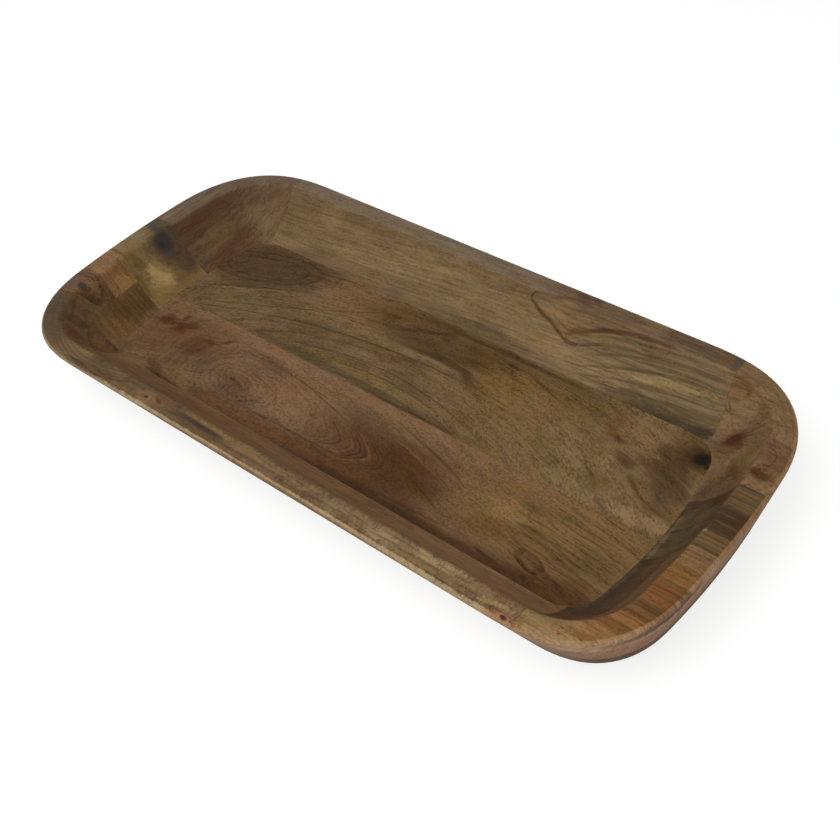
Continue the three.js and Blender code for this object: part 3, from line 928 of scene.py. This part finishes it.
near_rail_wood = wood(
    "lower near rail",
    "6b4f34",
    "60462d",
    (0, -150, -60),
    0,
    (60, 60, 1),
    5,
    near_rail_marks,
    grit=0.6,
    streaks=0.65,
    lines=0.15,
)

lower_end = 0.2305
lower = [over(lower_joint), below(upper_joint)]
rail = [left_of(lower_end), right_of(-lower_end)]
saw("lower_rail_near_wood", rail + [nearer_than(0)] + lower, near_rail_wood)
saw("lower_rail_far_wood", rail + [beyond(0)] + lower, far_rail_wood)

# Lower ring, left end: two corner blocks with a pale and a striped block between them, glued to
# the ends of the rails. The grain of the far one runs across the tray.
left_far, lower_pale, lower_striped = 0.0265, -0.0325, -0.0915
far_left_marks = [
    # lower ring: an olive-tan band along the wall over red-brown, tan round the corner
    cloud("5d492c", (-261, 58), (4.5, 34), ragged=1, amount=0.85),
    cloud("543a22", (-249, 84), (9, 12), -30, amount=0.85),
    cloud("4d321a", (-252, 52), (4, 14)),
    cloud("4b321d", (-246, 48), (3, 26), ragged=1, fray=1),
    # upper ring: red-brown streaks with a tan one between them
    mark("4d311c", (-276.5, 62), (3, 40), -2, soft=0.9, ragged=2, fray=2, amount=0.75),
    cloud("644c30", (-267, 56), (2.6, 30), -1, ragged=2),
    cloud("4a3019", (-270.5, 66), (1.4, 30), -4, ragged=2),
    cloud("665033", (-237, 112), (28, 18), 25, ragged=5, fray=1, amount=0.95),
    cloud("513b27", (-252, 112), (22, 4), 38, amount=0.6),
    cloud("65502f", (-240, 90), (7, 4), 30, amount=0.5),
    # the rim is a smooth lilac grey, a painted sheen, and tan above the pale block
    mark("5f4d3b", (-250, 90, 83), (120, 120, 22), soft=0.12, ragged=0, fray=0, amount=0.92, box=1),
    cloud("5d4a3c", (-296, 60, 66), (3, 60, 5), ragged=2, amount=0.5),
    cloud("6c5540", (-300, 34, 66), (20, 7, 5), ragged=2, amount=0.6),
]
far_left_wood = wood(
    "far left blocks",
    "553f2a",
    "4b3724",
    (-230, 60, 30),
    90,
    (4, 4, 1),
    3,
    far_left_marks,
    bands=0.3,
    lines=0.35,
    grit=0.5,
    streaks=0.7,
)
pale_marks = [
    # olive tan foot, cream and gold in the middle
    cloud("5a4628", (-256, 13), (9, 13), fray=1.5, amount=0.9),
    cloud("6e5730", (-252, 4), (4, 20), ragged=2, amount=0.6),
    cloud("8e774b", (-264, -13), (9, 12), fray=1.5, amount=0.85),
    cloud("9c8354", (-269, -9), (7, 9), fray=2.5, amount=0.6),
    cloud("6b5430", (-250, -10), (3.4, 20), ragged=2, fray=1.5, amount=0.8),
    cloud("6c562a", (-256, -21), (5, 9)),
    cloud("5a4420", (-277, -22), (3.5, 7), ragged=2, amount=0.8),
    mark("58431f", (-266, -30), (12, 2.6), soft=0.9, ragged=2, fray=2, amount=0.8),
    # a grey knot with a wide dark halo over the rim and down the wall
    mark("443629", (-284, 20), (24, 11), soft=0.7, ragged=2.5, fray=0.8, amount=0.95),
    cloud("463729", (-277, 10), (10, 13), ragged=2, fray=0.8, amount=0.85),
    cloud("483524", (-267, 20), (9, 9), fray=1, amount=0.85),
    cloud("2b2825", (-279, 10.5), (5, 7), 10, ragged=0.8, fray=1, amount=0.95),
    *[
        mark("54432a", (-278, 9), size, 8, hollow=0.14, ragged=2, fray=2, amount=0.4)
        for size in ((9, 13), (13, 18))
    ],
    cloud("37332e", (-291, 14), (11, 4), -8, ragged=1, fray=1),
    mark("3b2410", (-246.5, 2), (1.6, 36), soft=0.7, ragged=1, fray=1, amount=0.85),
    # rim: grey, then tan, then a dark olive line by the orange block
    cloud("6b5e48", (-295, -4), (12, 6), fray=1.5, amount=0.75),
    cloud("705635", (-294, -17), (12, 7), fray=1.5, amount=0.8),
    mark("54401c", (-293, -28.6), (12, 2.2), soft=0.9, ragged=1.5, fray=2, amount=0.85),
    cloud("5b4724", (-283, -25), (4, 5), ragged=2),
]
pale_wood = wood(
    "pale left blocks",
    "75603e",
    "675333",
    (-278, 11, 40),
    60,
    (3, 3, 1000),
    3.5,
    pale_marks,
    lines=0.35,
    grit=0.5,
    patches=0.25,
)
striped_marks = [
    cloud("46320f", (-257, -50), (8, 13), fray=1.5),
    cloud("664828", (-250, -72), (8, 14), fray=1.5, amount=0.6),
    cloud("6b4c2c", (-247, -42), (3, 12), ragged=2, amount=0.5),
    *[
        mark("35230c", (-257, y), (14, 0.6), 0, ragged=1.4, fray=1.5, amount=1.1 * dark)
        for y, dark in (
            (-37, 0.5),
            (-41, 0.7),
            (-46, 0.8),
            (-50, 0.5),
            (-57, 0.7),
            (-63, 0.4),
            (-69, 0.6),
            (-78, 0.5),
        )
    ],
]
striped_wood = wood(
    "striped left block",
    "5e472a",
    "523b21",
    (-256, -200, 30),
    0,
    (12, 12, 1000),
    4,
    striped_marks,
    lines=0.25,
)
near_corner_marks = [
    cloud("3f2914", (-240, -88), (6, 13), -45, amount=0.75),
    cloud("3e2914", (-256, -106), (8, 6), 40, ragged=4, fray=1.5, amount=0.6),
    mark("3e250f", (-236, -92), (7, 2.2), -50, soft=0.9, ragged=2, fray=2, amount=0.85),
    cloud("4c3019", (-240, -113), (8, 4), -40, ragged=4, amount=0.5),
    cloud("67482b", (-246, -98), (9, 4), -60, amount=0.6),
]
near_corner_wood = wood(
    "lower near left block",
    "5a4229",
    "4d3721",
    (-200, -60, 60),
    0,
    (60, 1.1, 2),
    3,
    near_corner_marks,
)

left = [left_of(-lower_end)]
saw("lower_block_far_left_wood", left + [beyond(left_far)] + lower, far_left_wood)
cuts = left + [nearer_than(left_far), beyond(lower_pale)] + lower
saw("lower_block_left_pale_wood", cuts, pale_wood)
cuts = left + [nearer_than(lower_pale), beyond(lower_striped)] + lower
saw("lower_block_left_striped_wood", cuts, striped_wood)
cuts = left + [nearer_than(lower_striped)] + lower
saw("lower_block_near_left_wood", cuts, near_corner_wood)

# Lower ring, right end: a tan corner block, a grey-brown block in the middle and a brown corner
# block with a grey foot, glued to the ends of the rails.
right_far, right_near = 0.034, -0.028
far_right_marks = [
    # the end wall is browner low down, with a smooth peach cheek beside a dark knot and cracks
    cloud("54402a", (263, 46), (18, 26), ragged=4, fray=0.8, amount=0.95),
    cloud("6b5235", (257, 74), (6, 14), fray=1, amount=0.6),
    cloud("7a6040", (254, 78), (3, 10), -20, ragged=2, fray=1, amount=0.4),
    cloud("573a22", (247, 94), (12, 9), ragged=4, amount=0.8),
    mark("371d08", (248, 94.5), (7.5, 4.2), 10, soft=0.9, ragged=3, fray=1.5, amount=0.95),
    mark("44260c", (254, 90), (5, 2), -40, soft=0.9, ragged=2, fray=2, amount=0.8),
    mark("4c2c16", (240, 106), (15, 0.8), -48, -1, ragged=1, amount=0.9),
    mark("4c2e18", (233, 111), (7, 0.7), -15, ragged=1, amount=0.8),
    mark("553419", (262, 98.5), (9, 0.9), 12, ragged=1, amount=0.85),
    mark("503015", (267, 60), (14, 1.8), -58, soft=0.9, ragged=2, fray=1.5, amount=0.85),
    mark("604422", (235, 121), (8.5, 3.6), hollow=0.3, ragged=1.4, fray=2, amount=0.55),
    mark("785933", (235, 121), (6.5, 2.4), soft=0.9, ragged=1.4, fray=2, amount=0.6),
    cloud("7a6244", (243, 104), (12, 7), 20, fray=1.5, amount=0.5),
    # rim: lines round the curve, brown along the end, a ragged red-brown patch, light tan beyond
    *[
        mark("634523", (222, 62), size, hollow=0.012, ragged=1.2, fray=2.5, amount=0.4)
        for size in ((60, 66), (64, 70.5), (70, 75), (75, 79), (79, 83))
    ],
    mark("5b4029", (291, 72, 66), (12, 12, 6), soft=0.4, ragged=3, fray=1, amount=0.85, box=1),
    cloud("6e4f33", (291, 74, 66), (7, 4, 6), amount=0.5),
    cloud("3f240a", (291, 50, 66), (10, 8.5, 7), -12, ragged=5, fray=1.5, amount=1.0),
    cloud("44280c", (287, 57, 66), (5, 3, 6), 10, ragged=4, fray=2.5, amount=0.8),
    mark("7c5b3d", (292, 38, 66), (12, 3.4, 6), soft=0.7, ragged=2, fray=1.5, amount=0.7),
]
far_right_wood = wood(
    "far right blocks",
    "725b3e",
    "654e34",
    (215, 62, 20),
    0,
    (1.6, 3, 2),
    4,
    far_right_marks,
    bands=0.25,
    lines=0.45,
    grit=1.1,
    streaks=0.75,
    # painted light: a lighter peach outer wall for light from below, and a painted highlight on its outer
    # edge
    outer="8a6544",
    edge="8c6d48",
)
middle_marks = [
    # wall: grey with a lighter streak along its foot and a dark band at its far end
    cloud("483b28", (260, -4), (14, 26), ragged=4, fray=1, amount=0.6),
    cloud("665540", (252.5, -6), (1.8, 26), ragged=1.5),
    cloud("54462f", (256, 16), (4, 9), ragged=2, fray=1.5, amount=0.5),
    cloud("35230f", (275, 26), (4, 8), 35, ragged=2, fray=1.5, amount=0.85),
    cloud("5b4226", (274, 2), (4, 14), 12, amount=0.5),
    cloud("352f27", (279, -6), (3, 12), ragged=2, fray=1.5, amount=0.6),
    # rim: olive stripes each side of a dark heart band
    mark("5e482c", (293, 23, 66), (16, 9.5, 6), soft=0.3, ragged=1.5, fray=0.8, amount=0.85, box=1),
    mark("3b2612", (293, 0, 66), (16, 9, 6), soft=0.5, ragged=2, fray=1, amount=0.85, box=1),
    mark("61492a", (293, -20, 66), (16, 7.6, 6), soft=0.3, ragged=1.5, fray=0.8, amount=0.85, box=1),
    *[
        mark("35260f", (292, y, 66), (13, 0.7, 6), 0, ragged=1.2, fray=3, amount=0.8)
        for y in (-27, -24, -20.5, -17, -12, 9, 16, 21, 26.5, 31)
    ],
    *[
        mark("654e31", (293, y, 66), (9, 0.7, 6), 0, ragged=1.2, fray=2, amount=0.4)
        for y in (-22, -15, 5, -3, 13, 19, 24, 29)
    ],
    mark("8b7452", (285, -13), (1.4, 1.2), ragged=0.5, amount=0.6),
]
middle_wood = wood(
    "right middle blocks",
    "443523",
    "3e2f1f",
    (260, -300, 40),
    0,
    (12, 12, 1000),
    5,
    middle_marks,
    lines=0.2,
    grit=0.6,
    streaks=0.8,
    # painted light: a lighter peach outer wall for light from below, and a painted highlight on its outer
    # edge
    outer="8a6545",
    edge="8a6a46",
)
near_foot_marks = [
    cloud("34281c", (247, -58), (9, 44), -9, fray=1, amount=0.9),
    cloud("50422f", (245, -60), (2, 30), -12, ragged=2, amount=0.5),
    cloud("4c2d1b", (236, -108), (16, 6), 30, ragged=4, fray=1.5, amount=0.75),
    cloud("6a4a33", (250, -112), (9, 3), 40, amount=0.5),
]
near_foot_wood = wood(
    "lower near right block",
    "46331f",
    "3b2a1a",
    (260, -320, 40),
    0,
    (12, 12, 1000),
    5,
    near_foot_marks,
    lines=0.2,
    # painted light: a lighter peach outer wall and outer edge, for light from below
    outer="8a6446",
    edge="8a6446",
)

right = [right_of(lower_end)]
saw("lower_block_far_right_wood", right + [beyond(right_far)] + lower, far_right_wood)
cuts = right + [nearer_than(right_far), beyond(right_near)] + lower
saw("lower_block_right_middle_wood", cuts, middle_wood)
cuts = right + [nearer_than(right_near)] + lower
saw("lower_block_near_right_wood", cuts, near_foot_wood)

# Upper ring, side rails: they carry the rim. The near one is a mottled plank that runs on round
# the near left corner to a slanted joint.
upper_end = 0.228
slant = (-(half_length - 0.021), -0.0905, 0)
slant_turn = math.radians(43)
far_side = Vector((-math.sin(slant_turn), math.cos(slant_turn), 0))
upper_orange = -0.0585
mottled_marks = [
    # smooth brown inner wall below the mottled rim
    mark("6a4f34", (0, -60), (236, 69.6), soft=0.02, ragged=0.3, fray=0, amount=0.95, box=1),
    cloud("5e4127", (-125, -116), (28, 9), ragged=4),
    cloud("785a3e", (150, -118), (90, 12), ragged=6, fray=1, amount=0.6),
    mark("5a4329", (-265, -95, 42), (32, 45, 20.5), soft=0.05, ragged=0.3, fray=0, amount=0.9, box=1),
    # light and dark zones of the rim, and a thin painted highlight along its outer arris
    mark("483926", (-268, -108, 66), (42, 44, 5), soft=0.6, ragged=2, amount=0.95),
    cloud("776142", (140, -137), (84, 7), ragged=4, fray=1.5),
    cloud("735b3b", (-15, -134), (60, 3)),
    cloud("57422a", (-175, -137), (50, 4), ragged=4),
    mark("9a8460", (60, -145.7), (215, 1.5), soft=0.7, ragged=0.4, fray=0.8, amount=1.0),
    # knots and streaks on the rim
    cloud("82623f", (-126, -138), (9, 5.4), ragged=2, fray=1, amount=0.6),
    mark("4a2a18", (-125.5, -138.3), (5.4, 3.6), hollow=0.3, ragged=1.6, fray=2.5, amount=0.4),
    mark("1f120b", (-126, -138.4), (2.2, 1.7), ragged=0.4, fray=1, amount=0.97),
    mark("43200f", (-115, -136.3), (4.5, 1.6), -20, ragged=1, amount=0.9),
    mark("5a3418", (-102, -136), (10, 1.2), -4, ragged=1, fray=2, amount=0.7),
    cloud("2d2420", (-66, -136.6), (26, 2.0), 0, 0.5, ragged=2, fray=1.5, amount=1.0),
    mark("2f2622", (-88, -138.4), (10, 1.0), 4, soft=0.9, ragged=1.5, fray=2, amount=0.8),
    mark("6f5728", (-60, -132.4), (32, 1.1), 0, soft=0.9, ragged=1, fray=1, amount=0.9),
    mark("26181a", (-207, -142.5), (11, 1.6), ragged=1, fray=1.2, amount=0.95),
    mark("351e17", (-178, -141), (5, 1.0), ragged=1, amount=0.9),
    mark("35251a", (-166, -141.5), (4, 1.0), ragged=1, amount=0.8),
    cloud("8f7a59", (160, -133.6), (16, 3), fray=3, amount=0.75),
    cloud("8b7758", (112, -138), (13, 3), fray=3, amount=0.6),
    cloud("9a8058", (208, -139), (12, 2), 10, ragged=2, amount=0.6),
    *[
        mark("41362a", at, (size, 0.9), turn, soft=0.9, ragged=1.6, fray=2.4, amount=0.66)
        for at, size, turn in (
            ((-44, -140.4), 14, 2),
            ((-14, -139.6), 12, 0),
            ((2, -134.6), 14, -3),
            ((16, -138.6), 16, 2),
            ((42, -135), 14, -2),
            ((38, -141.4), 12, 0),
            ((64, -139), 20, 2),
            ((90, -141), 14, 0),
            ((96, -136), 16, -2),
            ((120, -138.4), 12, 3),
            ((134, -133.6), 14, -2),
            ((152, -138.6), 20, 2),
            ((176, -135), 12, -2),
            ((190, -140), 14, 0),
            ((-150, -134), 18, 1),
            ((-186, -135.4), 14, -2),
            ((-96, -132.6), 12, 0),
        )
    ],
    # round the near left corner: lines that follow the curve, dark patches on the wall
    *[
        mark("44331c", (-198, -50), size, hollow=0.012, ragged=1.4, fray=2.5, amount=0.45)
        for size in ((88, 86), (92, 90), (96, 93), (101, 96))
    ],
    cloud("38261a", (-262, -103), (9, 5), 50, ragged=4, fray=1.5),
    cloud("3f2c1b", (-270, -92), (6, 5), 50, amount=0.5),
    cloud("4f2e17", (-250, -117), (8, 3.4), -35, amount=0.8),
    mark("2b1a0d", (-274, -80.6), (9, 0.8), 43, ragged=0.5, fray=1, amount=0.9),
]
mottled_wood = wood(
    "upper near rail",
    "665137",
    "533f27",
    (-196, -48, 50),
    0,
    (1000, 1.0, 1.2),
    3.2,
    mottled_marks,
    fibre=(30, 1.5, 8),
    wave=1.6,
    lines=0.35,
    ripples=0.3,
    # painted light: a lighter outer wall for light from below, and a painted highlight on its outer edge
    outer="6e563a",
    edge="8d7a5c",
    over=[
        # a small dark knot in a brown patch on the arris
        cloud("8a5f40", (218, -143.8), (9, 3), ragged=1, amount=0.9),
        mark("25150f", (220.5, -143.8), (2.8, 1.5), ragged=0.4, amount=1.1),
        mark("4a3020", (214, -141.5), (4, 0.8), 8, ragged=0.5, amount=0.8),
    ],
)

rail = [left_of(upper_end), right_of(-upper_end), beyond(0)]
saw("upper_rail_far_wood", rail + [over(upper_joint)], far_rail_wood)
cuts = [left_of(upper_end), nearer_than(upper_orange), (slant, far_side), over(upper_joint)]
saw("upper_rail_near_wood", cuts, mottled_wood)

# Upper ring, left end: a reddish corner block, a pale block with a grey knot, a small orange one
# and a curly one that meets the near rail at the slanted joint.
upper_pale = -0.0315
orange_marks = [
    cloud("97764e", (-288.5, -45), (1.4, 13), ragged=1, amount=0.8),
    cloud("6b4727", (-279, -46), (2, 13), ragged=1.5, amount=0.6),
    cloud("89663f", (-273, -40), (5, 7), ragged=2, fray=1.5, amount=0.6),
    mark("6f5238", (-294, -46), (10, 14), soft=0.6, ragged=1, fray=1, amount=0.8),
    *[
        mark("38200f", at, (0.8, 0.7), ragged=0.3)
        for at in ((-276, -37), (-283, -49), (-272, -52), (-281, -41))
    ],
    *[mark("5c3c1f", (-285, y), (20, 0.6), 0, ragged=1, fray=3, amount=0.6) for y in (-35, -43, -51)],
]
orange_wood = wood(
    "left orange block",
    "7b5c3b",
    "6f5232",
    (-280, -200, 50),
    0,
    (12, 12, 1000),
    4,
    orange_marks,
    lines=0.15,
)
figured_marks = [
    mark("2f2723", (-284, -77.5), (6, 3), -8, soft=0.9, ragged=2, fray=1.5, amount=0.95),
    mark("3a2d24", (-285, -65.5), (5, 1.6), 12, soft=0.9, ragged=1.5, fray=2, amount=0.85),
    mark("2c1a0e", (-274, -82.6), (8, 1.8), 43, soft=0.9, ragged=1, fray=1.5, amount=0.95),
    mark("3b2615", (-273, -77), (5, 1.6), 60, soft=0.9, ragged=1.5, fray=2, amount=0.85),
    *[
        mark("3d2917", (-287, -76), size, 20, hollow=0.09, ragged=2.4, fray=2, amount=0.5)
        for size in ((9, 7), (13, 10), (17, 14))
    ],
    cloud("74563a", (-277, -68), (4, 5), amount=0.8),
    cloud("7a5b3b", (-290, -71), (3, 1.4), 20, ragged=2, amount=0.8),
    cloud("594a38", (-295, -80), (5, 8)),
]
figured_wood = wood(
    "left curly block",
    "644a2f",
    "563c24",
    (-272, -60, 60),
    30,
    (1.6, 1.2, 1),
    2.6,
    figured_marks,
    lines=0.5,
)

left = [left_of(-upper_end), over(upper_joint)]
saw("upper_block_far_left_wood", left + [beyond(left_far)], far_left_wood)
cuts = left + [nearer_than(left_far), beyond(upper_pale)]
saw("upper_block_left_pale_wood", cuts, pale_wood)
cuts = left + [nearer_than(upper_pale), beyond(upper_orange)]
saw("upper_block_left_orange_wood", cuts, orange_wood)
cuts = left + [nearer_than(upper_orange), (slant, -far_side)]
saw("upper_block_left_figured_wood", cuts, figured_wood)

# Upper ring, right end: the same tan and grey-brown woods as below them, and an orange-striped
# corner block.
right_stripes = (
    ("70553a", -32, 4),
    ("745737", -41, 5),
    ("795529", -51, 5),
    ("704c28", -58, 3),
    ("694122", -65.5, 3),
    ("694320", -72, 3),
    ("754a25", -78, 3),
    ("51361d", -85, 3),
    ("6d4a28", -91, 2.6),
    ("573a20", -95.5, 2),
    ("75512e", -102, 4.5),
    ("64421f", -110, 2.6),
    ("7b5a36", -118, 5),
)
near_right_marks = [
    # brown inner wall with a pale line slanting down it
    mark("503a28", (250, -58, 30), (34, 60, 31.5), soft=0.03, ragged=0.5, fray=0, amount=0.9, box=1),
    cloud("86694b", (262, -42), (1.6, 16), -8, ragged=1, fray=1.5, amount=1.0),
    cloud("7c6046", (256, -70), (1.6, 16), -16, ragged=1, fray=1.5, amount=0.9),
    cloud("54402c", (270, -74), (6, 24), -12, fray=1.5, amount=0.5),
    cloud("5f4632", (258, -110, 40), (10, 5, 20), 42, ragged=2),
    # stripes across the rim
    *[
        mark(code, (285, y, 67), (45, size, 5.2), soft=0.5, ragged=1.2, fray=0.9, amount=0.85, box=1)
        for code, y, size in right_stripes
    ],
    mark("7a6442", (246, -133, 67), (22, 18, 6.4), 0, soft=0.6, ragged=3, fray=1.5, amount=0.9),
    mark("8a6f4b", (258, -138, 67), (44, 6, 6.4), 14, soft=0.8, ragged=2, fray=1.5, amount=0.85),
    *[
        mark("4f3017", (288, y, 66), (16, 0.7, 6), 0, ragged=1.2, fray=3, amount=0.8)
        for y in (-37, -47, -55, -61.5, -69, -75, -81, -88, -94, -99, -106, -113)
    ],
]
near_right_wood = wood(
    "near right block",
    "765632",
    "694a27",
    (285, -300, 50),
    0,
    (12, 12, 1000),
    3,
    near_right_marks,
    wave=1.2,
    streaks=0.8,
    # painted light: a lighter peach outer wall for light from below, and a painted highlight on its outer
    # edge
    outer="9b7b59",
    edge="947654",
    over=[
        # a dark purple streak on the outer wall, under the arris
        cloud("4f2d1a", (298.5, -76, 54), (30, 8, 7), 78, -2, amount=1.0),
        cloud("5b3b26", (290, -104, 53), (18, 5, 5), 58, ragged=2),
    ],
)

right = [right_of(upper_end), over(upper_joint)]
saw("upper_block_far_right_wood", right + [beyond(right_far)], far_right_wood)
cuts = right + [nearer_than(right_far), beyond(right_near)]
saw("upper_block_right_middle_wood", cuts, middle_wood)
saw("upper_block_near_right_wood", right + [nearer_than(right_near)], near_right_wood)
carved.free()
